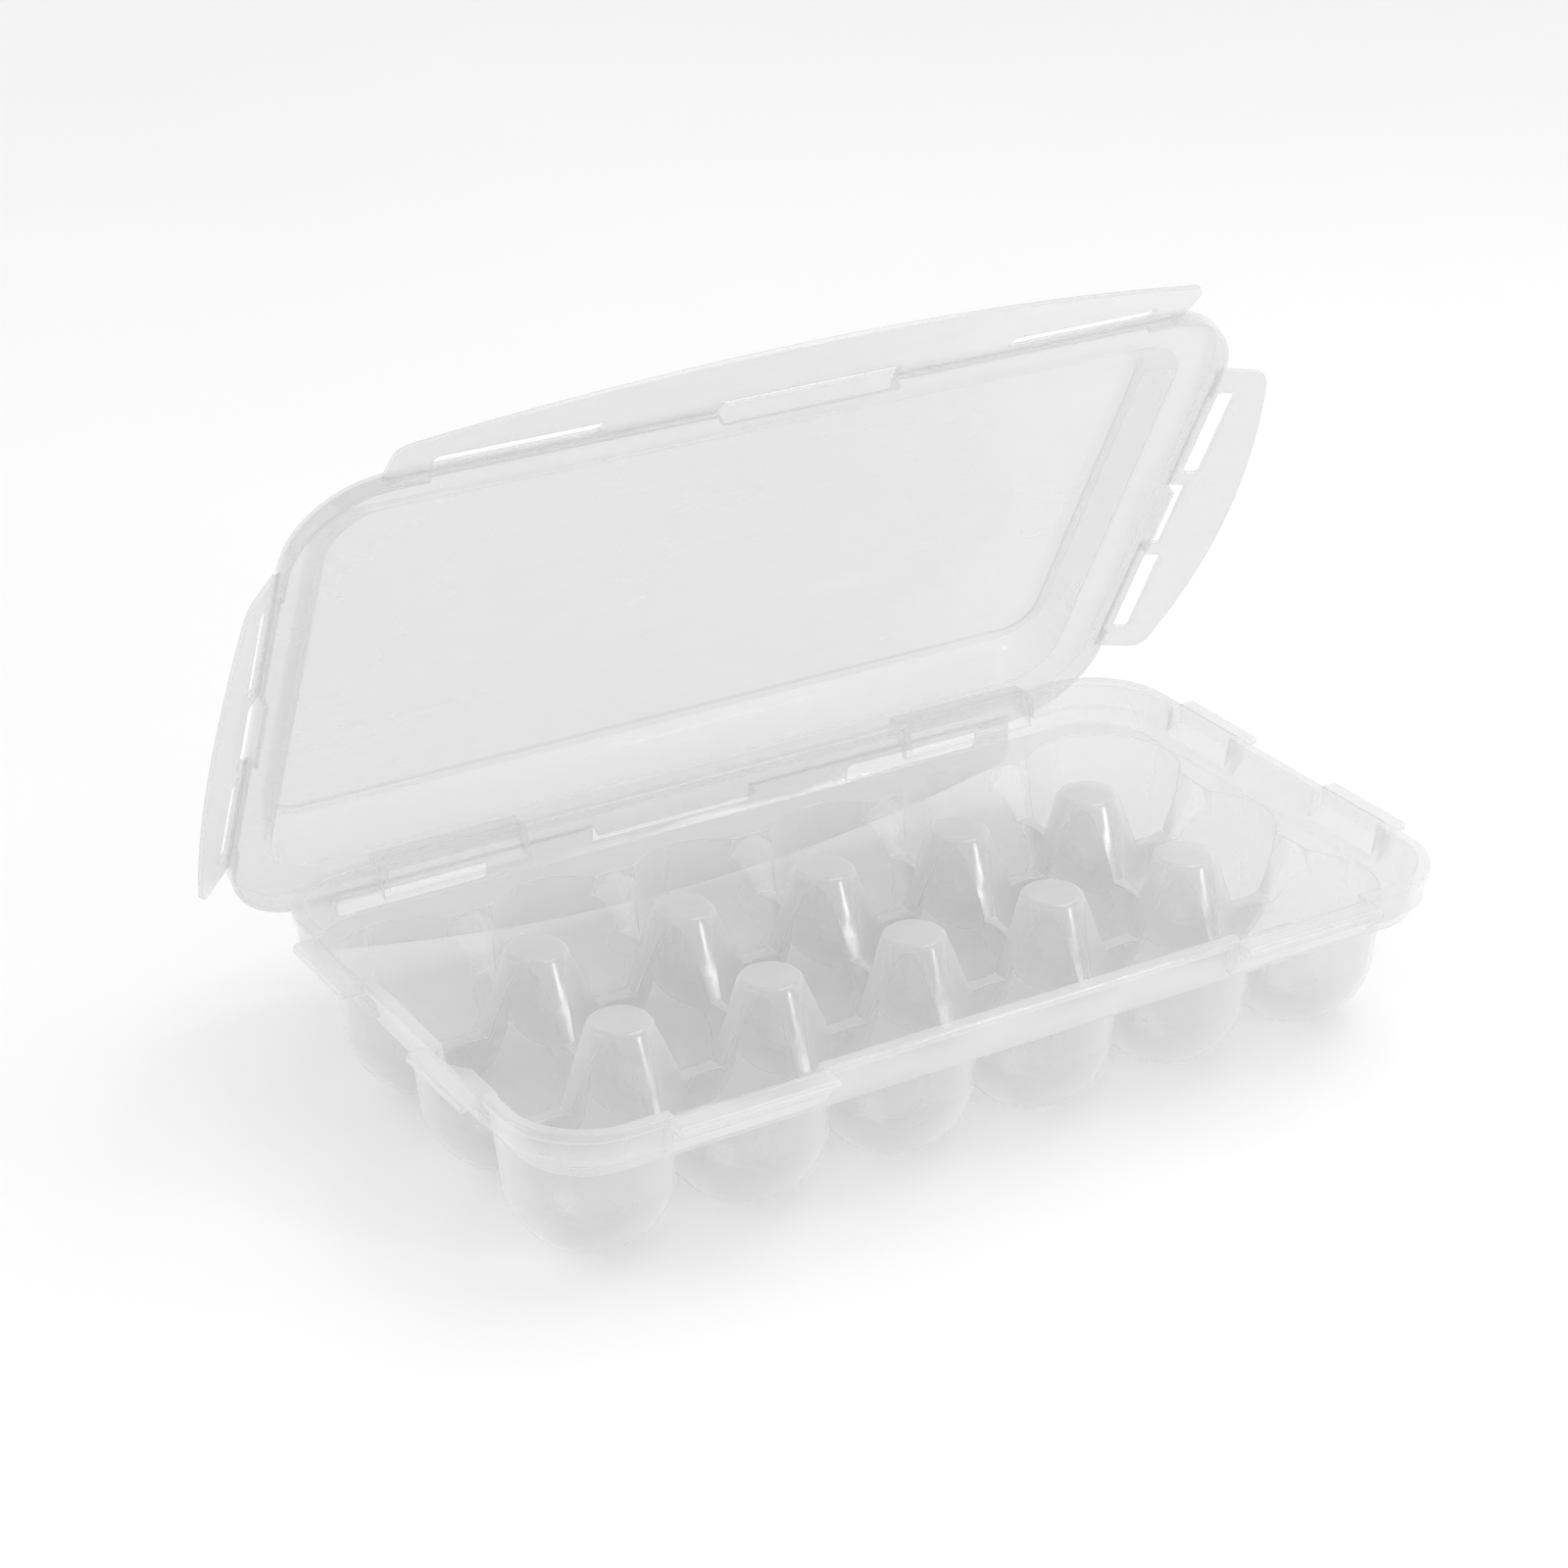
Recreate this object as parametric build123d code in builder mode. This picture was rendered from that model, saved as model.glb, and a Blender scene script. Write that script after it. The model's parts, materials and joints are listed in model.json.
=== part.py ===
"""Egg holder tray: a cupped base, a clear dome lid and four snap flaps on living hinges.

Frame: +Z up, X along the long side, front at -Y. Everything is drawn around the middle of
the base and is moved at the end, so that the origin is the centre of the foot of the cup
just left of the middle. The lid is drawn in its own plane, LID, whose coordinates are those
of the closed lid, so one plane carries the lid, its flaps and their hinge webs when open.
"""

import os
from math import cos, radians, sin, sqrt

from build123d import *

# ---- driving dimensions, mm -------------------------------------------------------
COLUMNS = 6
ROWS = 3
PITCH_X = 50.0
PITCH_Y = 52.0
WALL = 1.4

BASE_HEIGHT = 58.0          # feet to the top of the rim lip
DECK_Z = 44.0               # ledge between the cups and the rim wall
SADDLE_Z = 27.0             # lowest point of the ridge between neighbouring cups
PILLAR_TOP_Z = 51.0

CUP_RADIUS = 23.5
CUP_CENTRE_Z = 24.0
CUP_FLOOR_Z = WALL
CUP_MOUTH_RADIUS = 25.5     # at the deck

PILLAR_RADIUS = 9.4         # free pillar at its top
PILLAR_FLARE = 0.4          # gain in radius per mm down
WALL_PILLAR_RADIUS = 7.5    # half pillar against the rim wall, at the deck
WALL_PILLAR_FLARE = 0.55
PILLAR_FOOT_Z = 20.0
PILLAR_EDGE_RADIUS = 2.4

RIM_X = 158.0               # half length over the rim lip
RIM_Y = 92.0                # half width over the rim lip
RIM_CORNER = 27.0
LIP_REACH = 2.6             # lip beyond the rim wall
LIP_DEPTH = 2.8
LIP_TOP_RADIUS = 1.0
LIP_UNDER_RADIUS = 0.8
RIM_DRAFT = 2.5             # the rim wall leans out by this between deck and lip
FIELD_MARGIN = 18.0         # from the outer cups' centres to the edge of the open field
FIELD_CORNER = 20.0
COLLAR_INSET = 1.4          # corner collar behind the lip's edge
COLLAR_BOTTOM_Z = 48.0
COLLAR_END_RADIUS = 4.0

LUG_LENGTH_X = 50.0         # catch lugs on the long sides
LUG_CENTRE_X = 95.0
LUG_LENGTH_Y = 34.0         # catch lugs on the short sides
LUG_CENTRE_Y = 38.0
LUG_WALL_REACH = 1.0        # lug pocket wall beyond the rim lip
LUG_HOOK_REACH = 6.3        # lug hook beyond the rim lip
LUG_HOOK_DEPTH = 2.6
LUG_HOOK_CHAMFER = 0.8
LUG_TOP_Z = 57.0
LUG_BOTTOM_Z = 47.5         # floor of the lug's pocket
LUG_FLOOR = 2.0
LUG_RAMP = 5.0              # rise of the lug's sloped underside
POCKET_RAMP = 4.5
LUG_ROOT = 8.0              # how far the lug is rooted inward of the rim's edge
POCKET_ROOT = 12.0

LID_WALL_GAP = 2.0          # rim lip to the inside of the lid's border wall
LID_BORDER_TOP_Z = 64.0
LID_CORNER_SKIRT_Z = 57.0
LID_EDGE_Z = 58.8           # lower edge of the border wall beside the flaps
LID_TAB_Z = 55.5            # lower edge of the border wall's middle tabs
LID_BORDER_WIDTH = 13.4
DOME_INSET_X = 2.5          # the dome leans in by this at the short sides
DOME_INSET_Y = 13.0         # and by this at the long sides
PANEL_CORNER = 14.0
LID_PANEL_TOP_Z = 75.0
PANEL_BEAD_WIDTH = 1.6      # stacking bead around the panel
PANEL_BEAD_HEIGHT = 0.9
LID_BORDER_ROUND = 2.4

HINGE_Z = 60.0              # flap hinge height on the closed lid
HINGE_REACH = 1.0           # hinge line outside the border wall
HINGE_GAP = 0.45            # hinge line to the flap's edge
WEB_THICKNESS = 0.5
WEB_GAP = 0.15              # clearance between web and flap

FLAP_THICKNESS = 1.4
LONG_FLAP_LENGTH = 270.0
SHORT_FLAP_LENGTH = 132.0
FLAP_END_DEPTH = 16.0
LONG_FLAP_DEPTH = 31.0      # at the middle of the bowed free edge
SHORT_FLAP_DEPTH = 25.0
FLAP_CORNER_RADIUS = 6.0
SLOT_NEAR = 2.2             # hinge line to the slot's near edge
SLOT_FAR = 8.0
SLOT_SIDE_GAP = 1.5         # slot beyond the lug at each end
SLOT_END_RADIUS = 1.5
LONG_RELIEF = 60.0          # middle relief in the flap, where the lid's tab stands
SHORT_RELIEF = 28.0
RELIEF_DEPTH = 5.5
RELIEF_END_RADIUS = 0.8

# ---- open pose of the lid ---------------------------------------------------------
LID_LEAN = 62.0             # degrees turned back from closed
SWING_Y = 86.4              # the line that the lid turns about
SWING_Z = 23.5
FLAP_AJAR = {"front": 16.0, "rear": 28.0, "left": 40.0, "right": 18.0}

# ---- derived places ---------------------------------------------------------------
WALL_X = RIM_X - LIP_REACH              # outside of the rim wall at the lip
WALL_Y = RIM_Y - LIP_REACH
WALL_CORNER = RIM_CORNER - LIP_REACH
BORDER_X = RIM_X + LID_WALL_GAP + WALL  # outside of the lid's border wall
BORDER_Y = RIM_Y + LID_WALL_GAP + WALL
BORDER_CORNER = RIM_CORNER + LID_WALL_GAP + WALL
LONG_ZONE = LUG_CENTRE_X + LUG_LENGTH_X / 2 + SLOT_SIDE_GAP     # half length of a latch zone
SHORT_ZONE = LUG_CENTRE_Y + LUG_LENGTH_Y / 2 + SLOT_SIDE_GAP
SIDES_Y = (1, -1)
OPEN_TOP = 4.0              # how far cutting solids run past an open end
CUT_PAST = 10.0             # how far cutting solids run past a side wall


def lean_point(y, z):
    """Open-pose position of a point (y, z) of the closed lid."""
    c, s = cos(radians(LID_LEAN)), sin(radians(LID_LEAN))
    dy, dz = y - SWING_Y, z - SWING_Z
    return SWING_Y + c * dy + s * dz, SWING_Z - s * dy + c * dz


LID_ORIGIN = Vector(0, *lean_point(0, 0))
LID_UP = Vector(0, sin(radians(LID_LEAN)), cos(radians(LID_LEAN)))
LID = Plane(origin=LID_ORIGIN, x_dir=(1, 0, 0), z_dir=LID_UP)


# ---- base tray --------------------------------------------------------------------
def cup_void(grow):
    """Space of one cup, grown outward by a wall thickness or by nothing.

    Its side runs on above the deck, where it scallops the pillars."""
    radius = CUP_RADIUS + grow
    floor = CUP_FLOOR_Z - grow
    foot = sqrt(radius**2 - (CUP_CENTRE_Z - floor) ** 2)
    flare = (CUP_MOUTH_RADIUS - CUP_RADIUS) / (DECK_Z - CUP_CENTRE_Z)
    mouth = radius + flare * (PILLAR_TOP_Z - CUP_CENTRE_Z)
    with BuildPart() as cup:
        with BuildSketch(Plane.XZ):
            with BuildLine():
                Line((0, floor), (foot, floor))
                TangentArc((radius, CUP_CENTRE_Z), (foot, floor), tangent=(0, -1))
                Line((radius, CUP_CENTRE_Z), (mouth, PILLAR_TOP_Z))
                Line((mouth, PILLAR_TOP_Z), (0, PILLAR_TOP_Z))
                Line((0, PILLAR_TOP_Z), (0, floor))
            make_face()
        revolve(axis=Axis.Z)
    return cup.part


def pillar(top_z, top_radius, flare, shrink):
    """Round flared pillar with a rounded top, shrunk inward by a wall thickness or by nothing."""
    top = top_z - shrink
    foot = top_radius + flare * (top - PILLAR_FOOT_Z) - shrink
    with BuildPart() as cone:
        with BuildSketch(Plane.XZ) as outline:
            with BuildLine():
                Polyline(
                    (0, PILLAR_FOOT_Z),
                    (foot, PILLAR_FOOT_Z),
                    (top_radius - shrink, top),
                    (0, top),
                    close=True,
                )
            make_face()
            shoulder = outline.vertices().group_by(Axis.Y)[-1].sort_by(Axis.X)[-1]
            fillet(shoulder, PILLAR_EDGE_RADIUS)
        revolve(axis=Axis.Z)
    return cone.part


def tray_void(grow):
    """Everything above the tray's skin, grown outward by a wall thickness or by nothing."""
    wall_pillar = pillar(DECK_Z, WALL_PILLAR_RADIUS, WALL_PILLAR_FLARE, grow)
    free_pillar = pillar(PILLAR_TOP_Z, PILLAR_RADIUS, PILLAR_FLARE, grow)
    field_x = PITCH_X * (COLUMNS - 1) / 2 + FIELD_MARGIN + grow
    field_y = PITCH_Y * (ROWS - 1) / 2 + FIELD_MARGIN + grow
    with BuildPart() as void:
        with BuildSketch(Plane.XY.offset(SADDLE_Z - grow)):
            RectangleRounded(2 * field_x, 2 * field_y, FIELD_CORNER + grow)
        extrude(amount=DECK_Z - SADDLE_Z + grow)
        with GridLocations(PITCH_X, PITCH_Y * ROWS, COLUMNS - 1, 2):
            add(wall_pillar, mode=Mode.SUBTRACT)
        with GridLocations(PITCH_X * COLUMNS, PITCH_Y, 2, ROWS - 1):
            add(wall_pillar, mode=Mode.SUBTRACT)
        for level, draft in ((DECK_Z - grow, RIM_DRAFT), (BASE_HEIGHT, 0)):
            with BuildSketch(Plane.XY.offset(level)):
                RectangleRounded(
                    2 * (WALL_X - WALL - draft + grow),
                    2 * (WALL_Y - WALL - draft + grow),
                    WALL_CORNER - WALL - draft + grow,
                )
        loft()
        with GridLocations(PITCH_X, PITCH_Y, COLUMNS - 1, ROWS - 1):
            add(free_pillar, mode=Mode.SUBTRACT)
        with GridLocations(PITCH_X, PITCH_Y, COLUMNS, ROWS):
            add(cup_void(grow))
    return void.part


def lug_body(length):
    """Catch lug seen from its end: pocket wall with a hook at the top, pointing at +X."""
    hook_z = LUG_TOP_Z - LUG_HOOK_DEPTH
    under_z = LUG_BOTTOM_Z - LUG_FLOOR
    with BuildPart() as lug:
        with BuildSketch(Plane.XZ):
            with BuildLine():
                Polyline(
                    (-LUG_ROOT, under_z),
                    (-LIP_REACH, under_z),
                    (LUG_WALL_REACH, under_z + LUG_RAMP),
                    (LUG_WALL_REACH, hook_z),
                    (LUG_HOOK_REACH, hook_z),
                    (LUG_HOOK_REACH, LUG_TOP_Z - LUG_HOOK_CHAMFER),
                    (LUG_HOOK_REACH - LUG_HOOK_CHAMFER, LUG_TOP_Z),
                    (-LUG_ROOT, LUG_TOP_Z),
                    close=True,
                )
            make_face()
        extrude(amount=length / 2, both=True)
    return lug.part


def lug_pocket(length):
    """Hollow of a catch lug: deep at the rim, running out at the deck."""
    with BuildPart() as pocket:
        with BuildSketch(Plane.XZ):
            with BuildLine():
                Polyline(
                    (-POCKET_ROOT, LUG_BOTTOM_Z),
                    (-LIP_REACH - WALL - RIM_DRAFT, LUG_BOTTOM_Z),
                    (LUG_WALL_REACH - WALL, LUG_BOTTOM_Z + POCKET_RAMP),
                    (LUG_WALL_REACH - WALL, BASE_HEIGHT + OPEN_TOP),
                    (-POCKET_ROOT, BASE_HEIGHT + OPEN_TOP),
                    close=True,
                )
            make_face()
        extrude(amount=length / 2 - WALL, both=True)
    return pocket.part


def lug_places():
    """Rim-edge frames of the lugs: (long-side frames, short-side frames), +X pointing out."""
    long_side = []
    short_side = []
    for side in SIDES_Y:
        for x in (-LUG_CENTRE_X, LUG_CENTRE_X):
            long_side.append(Location((x, side * RIM_Y, 0), (0, 0, side * 90)))
        for y in (-LUG_CENTRE_Y, LUG_CENTRE_Y):
            short_side.append(Location((side * RIM_X, y, 0), (0, 0, 90 - side * 90)))
    return long_side, short_side


skin_outside = tray_void(WALL)
skin_inside = tray_void(0)
long_lugs, short_lugs = lug_places()

with BuildPart() as collar_windows:
    window_height = BASE_HEIGHT - LIP_DEPTH - COLLAR_BOTTOM_Z
    with BuildSketch(Plane.XZ):
        with Locations((0, COLLAR_BOTTOM_Z + window_height / 2 - COLLAR_END_RADIUS)):
            Rectangle(2 * LONG_ZONE, window_height + 2 * COLLAR_END_RADIUS)
    extrude(amount=RIM_Y + CUT_PAST, both=True)
    with BuildSketch(Plane.YZ):
        with Locations((0, COLLAR_BOTTOM_Z + window_height / 2 - COLLAR_END_RADIUS)):
            Rectangle(2 * SHORT_ZONE, window_height + 2 * COLLAR_END_RADIUS)
    extrude(amount=RIM_X + CUT_PAST, both=True)

with BuildPart() as collar:
    with BuildSketch(Plane.XY.offset(COLLAR_BOTTOM_Z)):
        RectangleRounded(
            2 * (RIM_X - COLLAR_INSET),
            2 * (RIM_Y - COLLAR_INSET),
            RIM_CORNER - COLLAR_INSET,
        )
    extrude(amount=BASE_HEIGHT - LIP_DEPTH - COLLAR_BOTTOM_Z)
    add(collar_windows.part, mode=Mode.SUBTRACT)
    add(skin_outside, mode=Mode.SUBTRACT)

with BuildPart() as lip:
    with BuildSketch(Plane.XY.offset(BASE_HEIGHT - LIP_DEPTH)):
        RectangleRounded(2 * RIM_X, 2 * RIM_Y, RIM_CORNER)
    extrude(amount=LIP_DEPTH)
    fillet(lip.edges().filter_by(Plane.XY).group_by(Axis.Z)[-1], LIP_TOP_RADIUS)
    fillet(lip.edges().filter_by(Plane.XY).group_by(Axis.Z)[0], LIP_UNDER_RADIUS)

with BuildPart() as base_tray:
    add(skin_outside)
    add(lip.part)
    add(collar.part)
    with Locations(*long_lugs):
        add(lug_body(LUG_LENGTH_X))
    with Locations(*short_lugs):
        add(lug_body(LUG_LENGTH_Y))
    add(skin_inside, mode=Mode.SUBTRACT)
    with Locations(*long_lugs):
        add(lug_pocket(LUG_LENGTH_X), mode=Mode.SUBTRACT)
    with Locations(*short_lugs):
        add(lug_pocket(LUG_LENGTH_Y), mode=Mode.SUBTRACT)
base_tray.part.label = "base_tray"


# ---- lid --------------------------------------------------------------------------
def dome(skin):
    """Sloped dome on the border with its flat panel, shrunk inward by the skin's thickness."""
    base_x = BORDER_X - LID_BORDER_WIDTH - skin
    base_y = BORDER_Y - LID_BORDER_WIDTH - skin
    with BuildPart() as shape:
        with BuildSketch(LID.offset(LID_BORDER_TOP_Z - WALL)):
            RectangleRounded(2 * base_x, 2 * base_y, BORDER_CORNER - LID_BORDER_WIDTH)
        with BuildSketch(LID.offset(LID_PANEL_TOP_Z - skin)):
            RectangleRounded(
                2 * (base_x - DOME_INSET_X), 2 * (base_y - DOME_INSET_Y), PANEL_CORNER
            )
        loft()
    return shape.part


dome_outside = dome(0)
dome_inside = dome(WALL)

with BuildPart() as lid_shell:
    with BuildSketch(LID.offset(LID_TAB_Z)):
        RectangleRounded(2 * BORDER_X, 2 * BORDER_Y, BORDER_CORNER)
    extrude(amount=LID_BORDER_TOP_Z - LID_TAB_Z)
    top_rim = lid_shell.faces().sort_by(Axis(LID.origin, LID.z_dir))[-1].edges()
    fillet(top_rim, LID_BORDER_ROUND)
    add(dome_outside)
    with BuildSketch(LID.offset(LID_TAB_Z - OPEN_TOP)):
        RectangleRounded(
            2 * (BORDER_X - WALL), 2 * (BORDER_Y - WALL), BORDER_CORNER - WALL
        )
    extrude(amount=LID_BORDER_TOP_Z - WALL - LID_TAB_Z + OPEN_TOP, mode=Mode.SUBTRACT)
    add(dome_inside, mode=Mode.SUBTRACT)
    with BuildSketch(LID.offset(LID_PANEL_TOP_Z)):
        bead_x = BORDER_X - LID_BORDER_WIDTH - DOME_INSET_X - PANEL_BEAD_WIDTH
        bead_y = BORDER_Y - LID_BORDER_WIDTH - DOME_INSET_Y - PANEL_BEAD_WIDTH
        RectangleRounded(2 * bead_x, 2 * bead_y, PANEL_CORNER - PANEL_BEAD_WIDTH)
        offset(amount=-PANEL_BEAD_WIDTH, mode=Mode.SUBTRACT)
    extrude(amount=PANEL_BEAD_HEIGHT)
    # border wall: lowest at the middle tabs, low at the corners, high beside the flaps
    for span, wall_edge in ((LONG_RELIEF, True), (SHORT_RELIEF, False)):
        zone = LONG_ZONE if wall_edge else SHORT_ZONE
        for way in SIDES_Y:
            place = (0, way * BORDER_Y) if wall_edge else (way * BORDER_X, 0)
            for half in SIDES_Y:
                width = zone - span / 2
                shift = half * (zone + span / 2) / 2
                centre = (place[0] + shift, place[1]) if wall_edge else (place[0], shift)
                size = (width, CUT_PAST) if wall_edge else (CUT_PAST, width)
                with BuildSketch(LID.offset(LID_TAB_Z - OPEN_TOP)):
                    with Locations(centre):
                        Rectangle(*size)
                extrude(amount=LID_EDGE_Z - LID_TAB_Z + OPEN_TOP, mode=Mode.SUBTRACT)
    with BuildSketch(LID.offset(LID_TAB_Z - OPEN_TOP)):
        Rectangle(2 * BORDER_X + CUT_PAST, 2 * BORDER_Y + CUT_PAST)
        Rectangle(LONG_RELIEF, 2 * (BORDER_Y + CUT_PAST), mode=Mode.SUBTRACT)
        Rectangle(2 * (BORDER_X + CUT_PAST), SHORT_RELIEF, mode=Mode.SUBTRACT)
    extrude(amount=LID_CORNER_SKIRT_Z - LID_TAB_Z + OPEN_TOP, mode=Mode.SUBTRACT)
lid_shell.part.label = "lid_shell"


# ---- flaps and hinge webs ---------------------------------------------------------
def hinge_plane(side, ajar):
    """Plane of a flap: X along the hinge, -Y away from the lid, folded by its ajar angle."""
    turn = {"front": 0, "right": 90, "rear": 180, "left": 270}[side]
    reach = (BORDER_Y if side in ("front", "rear") else BORDER_X) + HINGE_REACH
    outward = Vector(0, -1, 0).rotate(Axis.Z, turn)
    along = Vector(1, 0, 0).rotate(Axis.Z, turn)
    fold = radians(ajar)
    normal = Vector(0, 0, cos(fold)) + outward * sin(fold)
    place = outward * reach + Vector(0, 0, HINGE_Z)
    origin, ahead, above = [LID.from_local_coords(v) for v in (place, along, normal)]
    return Plane(origin=origin, x_dir=ahead - LID.origin, z_dir=above - LID.origin)


def flap(plane, length, depth, lug_centre, lug_length, relief):
    """Snap flap: bowed free edge, two catch slots by the hinge and a middle relief."""
    half = length / 2
    slot_length = lug_length + 2 * SLOT_SIDE_GAP
    with BuildPart() as panel:
        with BuildSketch(plane) as outline:
            with BuildLine():
                Line((-half, -HINGE_GAP), (half, -HINGE_GAP))
                Line((half, -HINGE_GAP), (half, -FLAP_END_DEPTH))
                ThreePointArc((half, -FLAP_END_DEPTH), (0, -depth), (-half, -FLAP_END_DEPTH))
                Line((-half, -FLAP_END_DEPTH), (-half, -HINGE_GAP))
            make_face()
            free_corners = outline.vertices().group_by(Axis.Y)[0]
            fillet(free_corners, FLAP_CORNER_RADIUS)
            RectangleRounded(relief, 2 * RELIEF_DEPTH, RELIEF_END_RADIUS, mode=Mode.SUBTRACT)
            slot_y = -(SLOT_NEAR + SLOT_FAR) / 2
            with Locations((-lug_centre, slot_y), (lug_centre, slot_y)):
                RectangleRounded(
                    slot_length, SLOT_FAR - SLOT_NEAR, SLOT_END_RADIUS, mode=Mode.SUBTRACT
                )
        extrude(amount=FLAP_THICKNESS / 2, both=True)
    return panel.part


def hinge_web(plane, length, relief):
    """Thin living hinge from the border wall to the hinge line, in two runs."""
    run = (length - relief) / 2
    width = HINGE_REACH + WEB_GAP
    with BuildPart() as web:
        with BuildSketch(plane.offset(-WEB_THICKNESS / 2)):
            with Locations((-(relief + run) / 2, width / 2), ((relief + run) / 2, width / 2)):
                Rectangle(run, width - 2 * WEB_GAP)
        extrude(amount=WEB_THICKNESS)
    return web.part


LONG = (LONG_FLAP_LENGTH, LONG_FLAP_DEPTH, LUG_CENTRE_X, LUG_LENGTH_X, LONG_RELIEF)
SHORT = (SHORT_FLAP_LENGTH, SHORT_FLAP_DEPTH, LUG_CENTRE_Y, LUG_LENGTH_Y, SHORT_RELIEF)
pieces = [base_tray.part, lid_shell.part]
for side, sizes in (("front", LONG), ("rear", LONG), ("left", SHORT), ("right", SHORT)):
    piece = flap(hinge_plane(side, FLAP_AJAR[side]), *sizes)
    piece.label = side + "_flap"
    web = hinge_web(hinge_plane(side, 0), sizes[0], sizes[4])
    web.label = side + "_hinge_web"
    pieces += [piece, web]

to_row_frame = Location((PITCH_X / 2, 0, 0))
os.makedirs("parts", exist_ok=True)
for piece in pieces:
    placed = piece.moved(to_row_frame)
    placed.label = piece.label
    export_step(placed, "parts/" + piece.label + ".step")
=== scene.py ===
"""Looks of the egg holder tray: milky translucent plastic on a plain pale floor."""

import json
import math

import bpy
from mathutils import Matrix, Vector

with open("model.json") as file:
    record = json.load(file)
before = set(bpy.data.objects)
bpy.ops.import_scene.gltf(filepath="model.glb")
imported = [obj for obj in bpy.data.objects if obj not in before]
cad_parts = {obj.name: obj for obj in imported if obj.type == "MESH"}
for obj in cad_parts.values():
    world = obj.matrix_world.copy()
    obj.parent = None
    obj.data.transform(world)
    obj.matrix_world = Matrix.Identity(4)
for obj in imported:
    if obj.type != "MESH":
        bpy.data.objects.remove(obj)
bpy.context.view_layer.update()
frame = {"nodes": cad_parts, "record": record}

MM = 0.001
WHITE = (1.0, 1.0, 1.0, 1.0)
NOISE_SPAN = (0.3, 0.7)             # nearly all values of a noise texture lie in this range

# ---- plastic; noise scales are in waves per metre -----------------------------------
CLOUD_SCALE = 14.0
FLOW_SCALE = (10.0, 70.0, 40.0)     # long streaks, the way the plastic ran into its mould
FLOW_SPAN = (0.35, 0.65)
SPECKLE_SCALE = 2600.0
RIPPLE_SCALE = 90.0
RIPPLE_HEIGHT = 0.25 * MM
EDGE_ROUNDING = 0.7 * MM
EDGE_GLINT_SPAN = (0.985, 0.80)         # rounded normal against true one, from a flat face to a full painted edge highlight
GRAZING_POWER = 1.6                 # how late the haze rises towards a grazing look
CLOUD_HAZE = 0.015                  # what clouds, streaks and the painted edge highlight add to the haze
FLOW_HAZE = 0.008
# painted edge highlight: extra haze along rounded edges, standing in for light the edges catch
EDGE_GLINT_HAZE = 0.22
MILK_TONES = (0.875, 0.895)
# painted edge highlight: how much lighter the milk tone is made along rounded edges
EDGE_GLINT_TONE = 0.07
FLOW_GLOSS = (0.8, 1.25)            # streaks vary the gloss's roughness by these factors
SPECKLE_GLOSS = 0.015
REFRACTIVE_INDEX = 1.5

SLOT_LOOKS = {
    "frosted_plastic": {
        "clarity": 0.95,
        "haze": 0.23,
        "edge_haze": 0.61,
        "gloss_roughness": 0.16,
        "grain": 0.12,
    },
    "clear_plastic": {
        "clarity": 0.90,
        "haze": 0.16,
        "edge_haze": 0.58,
        "gloss_roughness": 0.09,
        "grain": 0.06,
    },
    "flap_plastic": {
        "clarity": 0.90,
        "haze": 0.20,
        "edge_haze": 0.62,
        "gloss_roughness": 0.14,
        "grain": 0.10,
    },
    "hinge_plastic": {
        "clarity": 0.93,
        "haze": 0.40,
        "edge_haze": 0.75,
        "gloss_roughness": 0.20,
        "grain": 0.10,
    },
}

# ---- floor and sky, in metres ---------------------------------------------------------
SKY_STRENGTH = 0.93
FLOOR_SCALE = 3.0
FLOOR_TONES = (0.885, 0.9)
FLOOR_ROUGHNESS = 0.75
FLOOR_FADE = (0.9, 3.0)             # the floor turns into sky between these distances
FLOOR_REACH = 6.0
FLOOR_DROP = 0.5 * MM               # keeps the floor off the feet's flat undersides

# ---- lights: place and size in metres, power in watts ---------------------------------
SOFTBOXES = {
    "overhead": ((0.575, -0.2, 1.35), (1.1, 0.7), 4.5),
    "left_fill": ((-1.275, 0.5, 0.9), (0.9, 1.2), 2.0),
    "front_strip": ((0.775, -1.35, 0.34), (0.22, 0.5), 4.5),
}

# ---- camera: angles in degrees, lens in millimetres, lengths in metres ----------------
CAMERA_AZIMUTH = -32.2
CAMERA_ELEVATION = 29.2
CAMERA_LENS = 80.0
CAMERA_SENSOR = 36.0
CAMERA_NEAREST = 0.01
CAMERA_DISTANCE = 1.059
CAMERA_SIDE = 0.0021                # offsets along the camera's own right and up directions
CAMERA_RISE = -0.0367
TRAY_MIDDLE = Vector((0.025, 0.0, 0.051))
FRAME_SHIFT = (-0.058, 0.15)        # moves the view without turning it, in picture widths

# ---- light bounces; a look through the tray crosses many thin skins -------------------
CYCLES_SETTINGS = {
    "sampling_pattern": "TABULATED_SOBOL",
    "max_bounces": 16,
    "transmission_bounces": 12,
    "diffuse_bounces": 6,
    "transparent_max_bounces": 40,
}


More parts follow.
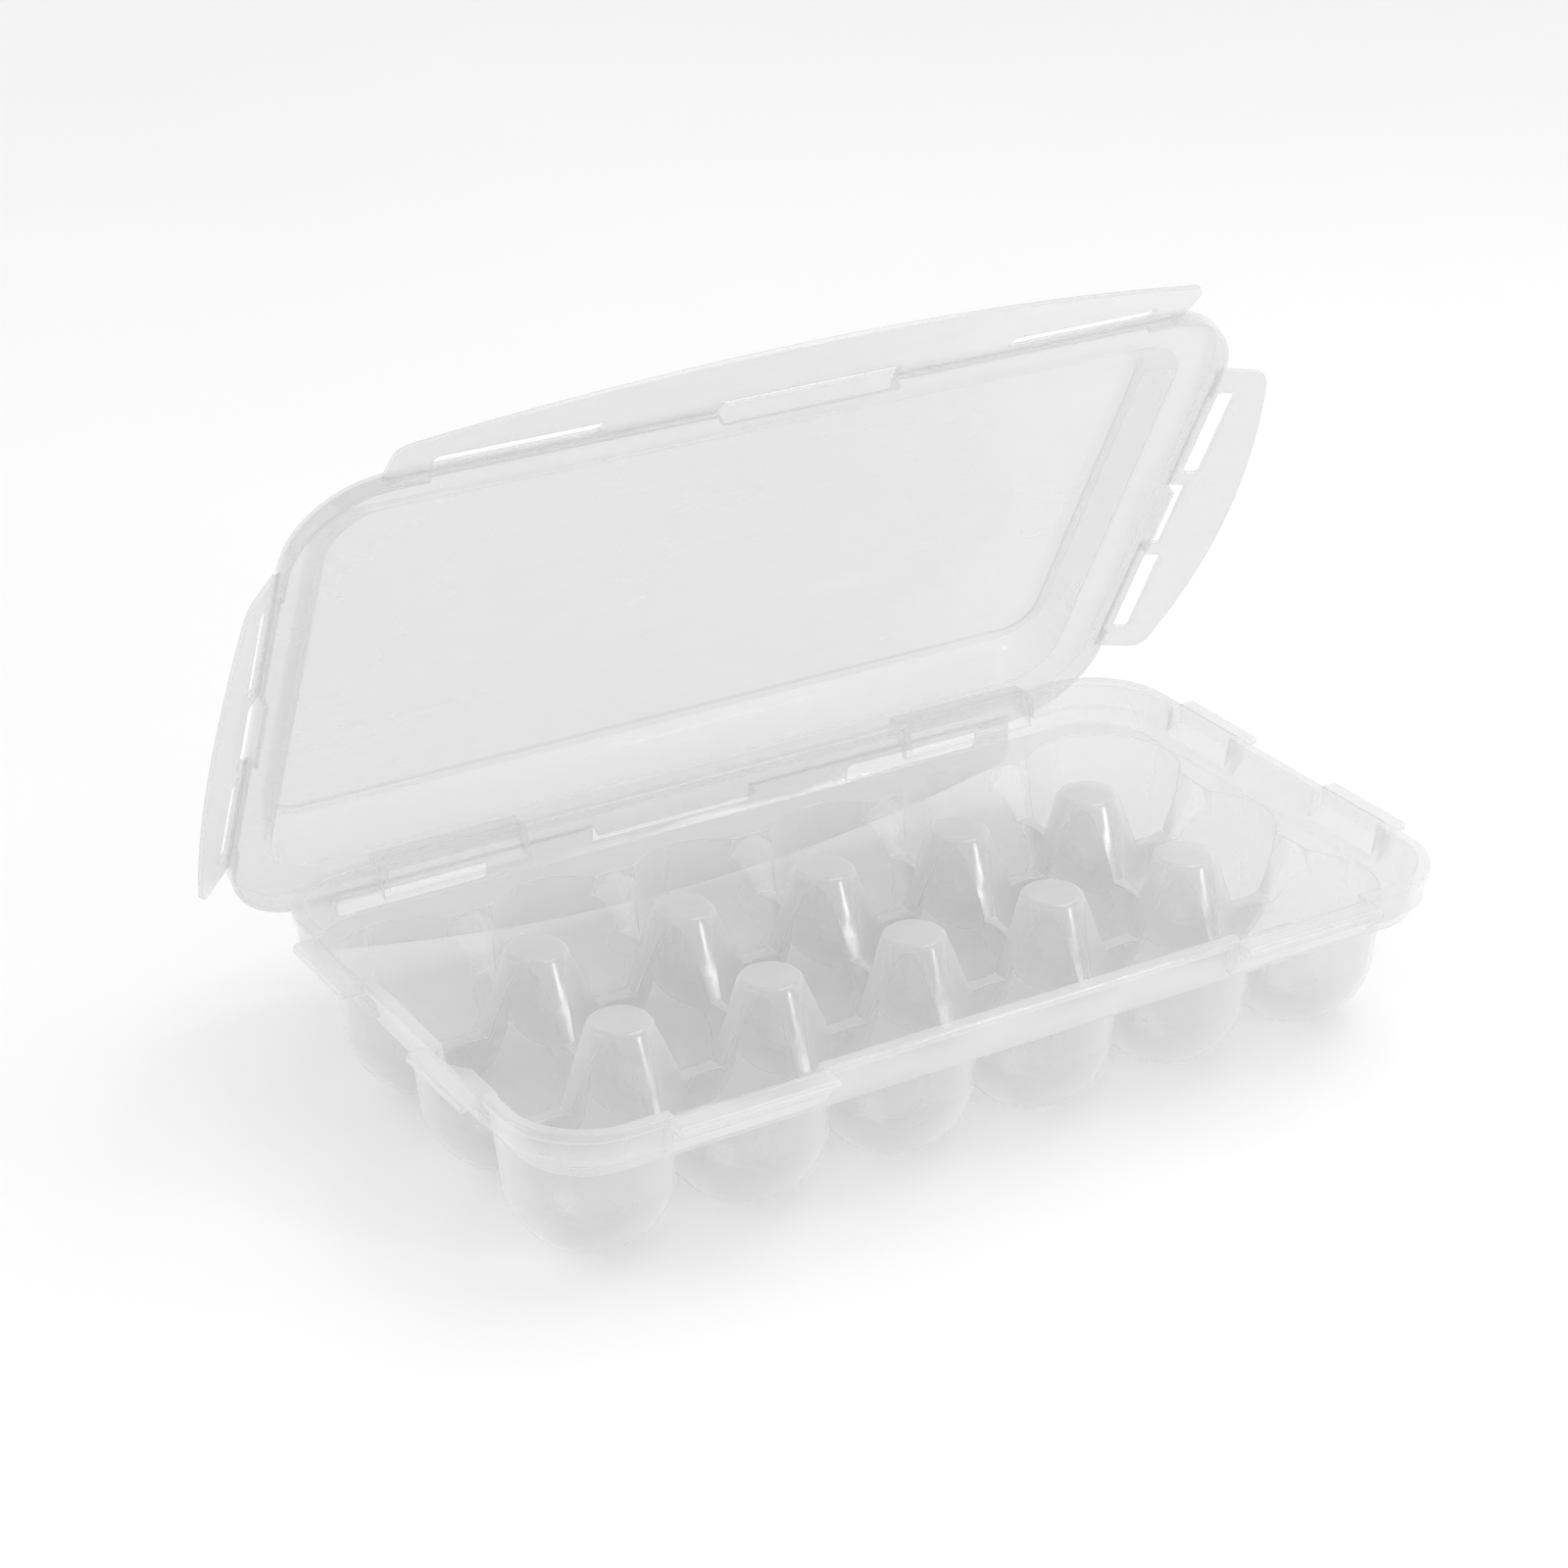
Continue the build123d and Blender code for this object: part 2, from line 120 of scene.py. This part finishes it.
class Nodes:
    """Short calls for building one material's node tree."""

    def __init__(self, name):
        self.material = bpy.data.materials.new(name)
        self.material.use_nodes = True
        self.tree = self.material.node_tree
        self.tree.nodes.clear()

    def add(self, kind, inputs=None, **settings):
        """A new node, with its settings and its inputs given as values or as sockets."""
        node = self.tree.nodes.new(kind)
        for key, value in settings.items():
            setattr(node, key, value)
        for key, value in (inputs or {}).items():
            if isinstance(value, bpy.types.NodeSocket):
                self.tree.links.new(value, node.inputs[key])
            else:
                node.inputs[key].default_value = value
        return node

    def math(self, operation, a, b, clamp=False):
        node = self.add("ShaderNodeMath", {0: a, 1: b}, operation=operation, use_clamp=clamp)
        return node.outputs[0]

    def remap(self, value, source, target):
        """value, carried from the source range to the target range and held at its ends."""
        inputs = {
            "Value": value,
            "From Min": source[0],
            "From Max": source[1],
            "To Min": target[0],
            "To Max": target[1],
        }
        return self.add("ShaderNodeMapRange", inputs).outputs[0]

    def noise(self, place, scale, detail, roughness=0.5):
        inputs = {"Vector": place, "Scale": scale, "Detail": detail, "Roughness": roughness}
        return self.add("ShaderNodeTexNoise", inputs).outputs["Fac"]

    def stretch(self, place, scale):
        return self.add("ShaderNodeMapping", {"Vector": place, "Scale": scale}).outputs[0]

    def grey(self, tone):
        inputs = {0: tone, 1: tone, 2: tone}
        return self.add("ShaderNodeCombineColor", inputs).outputs[0]

    def mix(self, factor, a, b):
        return self.add("ShaderNodeMixShader", {0: factor, 1: a, 2: b}).outputs[0]


def milky_plastic(name, clarity, haze, edge_haze, gloss_roughness, grain):
    """Thin translucent polypropylene.

    Each skin lets part of the light straight through, scatters the rest in both directions and
    reflects a little. clarity is the tint of the light let through, haze the scattered share face
    on, edge_haze the share at a grazing look, and grain the strength of the surface's waves.
    """
    n = Nodes(name)
    place = n.add("ShaderNodeTexCoord").outputs["Object"]
    clouds = n.noise(place, CLOUD_SCALE, detail=3.0)
    flow = n.noise(n.stretch(place, FLOW_SCALE), 1.0, detail=4.0, roughness=0.6)
    speckle = n.noise(place, SPECKLE_SCALE, detail=1.0)
    ripple = n.noise(place, RIPPLE_SCALE, detail=1.0)

    rounded = n.add("ShaderNodeBevel", {"Radius": EDGE_ROUNDING}, samples=4).outputs["Normal"]
    bump = n.add(
        "ShaderNodeBump",
        {"Height": ripple, "Strength": grain, "Distance": RIPPLE_HEIGHT, "Normal": rounded},
    ).outputs["Normal"]

    facing = n.add("ShaderNodeLayerWeight", {"Blend": 0.5}).outputs["Facing"]
    geometry = n.add("ShaderNodeNewGeometry").outputs
    agreement = n.add(
        "ShaderNodeVectorMath", {0: rounded, 1: geometry["Normal"]}, operation="DOT_PRODUCT"
    ).outputs["Value"]
    # Painted edge highlight: where the rounded normal turns away from the true one, the milk is
    # made hazier and lighter, standing in for light caught by the edges.
    edge_glint = n.remap(agreement, EDGE_GLINT_SPAN, (0.0, 1.0))

    grazing = n.math("POWER", facing, GRAZING_POWER)
    scatter = n.remap(grazing, (0.0, 1.0), (haze, edge_haze))
    scatter = n.math("ADD", scatter, n.remap(clouds, NOISE_SPAN, (-CLOUD_HAZE, CLOUD_HAZE)))
    scatter = n.math("ADD", scatter, n.remap(flow, FLOW_SPAN, (-FLOW_HAZE, FLOW_HAZE)))
    scatter = n.math("ADD", scatter, n.math("MULTIPLY", edge_glint, EDGE_GLINT_HAZE), clamp=True)

    tone = n.remap(clouds, NOISE_SPAN, MILK_TONES)
    milk = n.grey(n.math("ADD", tone, n.math("MULTIPLY", edge_glint, EDGE_GLINT_TONE)))

    clear = (clarity, clarity, clarity, 1.0)
    through = n.add("ShaderNodeBsdfTransparent", {"Color": clear}).outputs[0]
    front = n.add("ShaderNodeBsdfDiffuse", {"Color": milk, "Normal": bump}).outputs[0]
    behind = n.add("ShaderNodeBsdfTranslucent", {"Color": milk, "Normal": bump}).outputs[0]
    body = n.mix(scatter, through, n.mix(0.5, front, behind))

    smooth, rough = FLOW_GLOSS
    shine = n.remap(flow, NOISE_SPAN, (gloss_roughness * smooth, gloss_roughness * rough))
    shine = n.math("ADD", shine, n.remap(speckle, NOISE_SPAN, (-SPECKLE_GLOSS, SPECKLE_GLOSS)))
    gloss = n.add(
        "ShaderNodeBsdfGlossy", {"Color": WHITE, "Roughness": shine, "Normal": bump}
    ).outputs[0]

    # Seen from inside the wall, the Fresnel node would reflect everything at a grazing look.
    fresnel = n.add("ShaderNodeFresnel", {"IOR": REFRACTIVE_INDEX, "Normal": bump}).outputs[0]
    outer_face = n.math("SUBTRACT", 1.0, geometry["Backfacing"])
    surface = n.mix(n.math("MULTIPLY", fresnel, outer_face), body, gloss)
    n.add("ShaderNodeOutputMaterial", {"Surface": surface})
    return n.material


def pale_floor():
    """Plain matt floor that runs out into the sky's brightness, so that no horizon shows."""
    n = Nodes("pale_floor")
    place = n.add("ShaderNodeTexCoord").outputs["Object"]
    mottle = n.noise(place, FLOOR_SCALE, detail=4.0)
    colour = n.grey(n.remap(mottle, NOISE_SPAN, FLOOR_TONES))
    near = n.add(
        "ShaderNodeBsdfPrincipled", {"Base Color": colour, "Roughness": FLOOR_ROUGHNESS}
    ).outputs[0]
    far = n.add("ShaderNodeEmission", {"Color": WHITE, "Strength": SKY_STRENGTH}).outputs[0]
    distance = n.add("ShaderNodeVectorMath", {0: place}, operation="LENGTH").outputs["Value"]
    surface = n.mix(n.remap(distance, FLOOR_FADE, (0.0, 1.0)), near, far)
    n.add("ShaderNodeOutputMaterial", {"Surface": surface})
    return n.material


def place_object(name, data):
    thing = bpy.data.objects.new(name, data)
    bpy.context.scene.collection.objects.link(thing)
    return thing


def make_camera():
    azimuth, elevation = math.radians(CAMERA_AZIMUTH), math.radians(CAMERA_ELEVATION)
    back = Vector(
        (
            math.sin(azimuth) * math.cos(elevation),
            -math.cos(azimuth) * math.cos(elevation),
            math.sin(elevation),
        )
    )
    right = (-back).cross(Vector((0, 0, 1))).normalized()
    up = back.cross(right)
    data = bpy.data.cameras.new("camera")
    data.lens = CAMERA_LENS
    data.sensor_width = CAMERA_SENSOR
    data.shift_x, data.shift_y = FRAME_SHIFT
    data.clip_start = CAMERA_NEAREST
    camera = place_object("camera", data)
    place = TRAY_MIDDLE + CAMERA_DISTANCE * back + CAMERA_SIDE * right + CAMERA_RISE * up
    turn = Matrix((right, up, back)).transposed().to_4x4()
    camera.matrix_world = Matrix.Translation(place) @ turn
    bpy.context.scene.camera = camera


def softbox(name, place, size, power):
    """A rectangular light aimed at the tray."""
    data = bpy.data.lights.new(name, "AREA")
    data.shape = "RECTANGLE"
    data.size, data.size_y = size
    data.energy = power
    light = place_object(name, data)
    light.location = place
    light.rotation_euler = (TRAY_MIDDLE - Vector(place)).to_track_quat("-Z", "Y").to_euler()


def make_sky():
    world = bpy.data.worlds.new("studio")
    world.use_nodes = True
    background = world.node_tree.nodes["Background"]
    background.inputs["Color"].default_value = WHITE
    background.inputs["Strength"].default_value = SKY_STRENGTH
    bpy.context.scene.world = world


def make_floor():
    near, far = -FLOOR_REACH, FLOOR_REACH
    mesh = bpy.data.meshes.new("floor")
    corners = [(near, near, 0), (far, near, 0), (far, far, 0), (near, far, 0)]
    mesh.from_pydata(corners, [], [(0, 1, 2, 3)])
    mesh.materials.append(pale_floor())
    floor = place_object("floor", mesh)
    floor.location.z = -FLOOR_DROP


def make_studio():
    for name, (place, size, power) in SOFTBOXES.items():
        softbox(name, place, size, power)
    make_sky()
    make_floor()
    bpy.context.scene.view_settings.view_transform = "Standard"
    bpy.context.scene.view_settings.look = "None"
    for setting, value in CYCLES_SETTINGS.items():
        setattr(bpy.context.scene.cycles, setting, value)


def dress_cad_nodes():
    looks = {slot: milky_plastic(slot + "_look", **values) for slot, values in SLOT_LOOKS.items()}
    for entry in frame["record"]["subparts"]:
        materials = frame["nodes"][entry["node"]].data.materials
        for i in range(len(materials)):
            materials[i] = looks[entry["material_slot"]]


dress_cad_nodes()
make_studio()
make_camera()
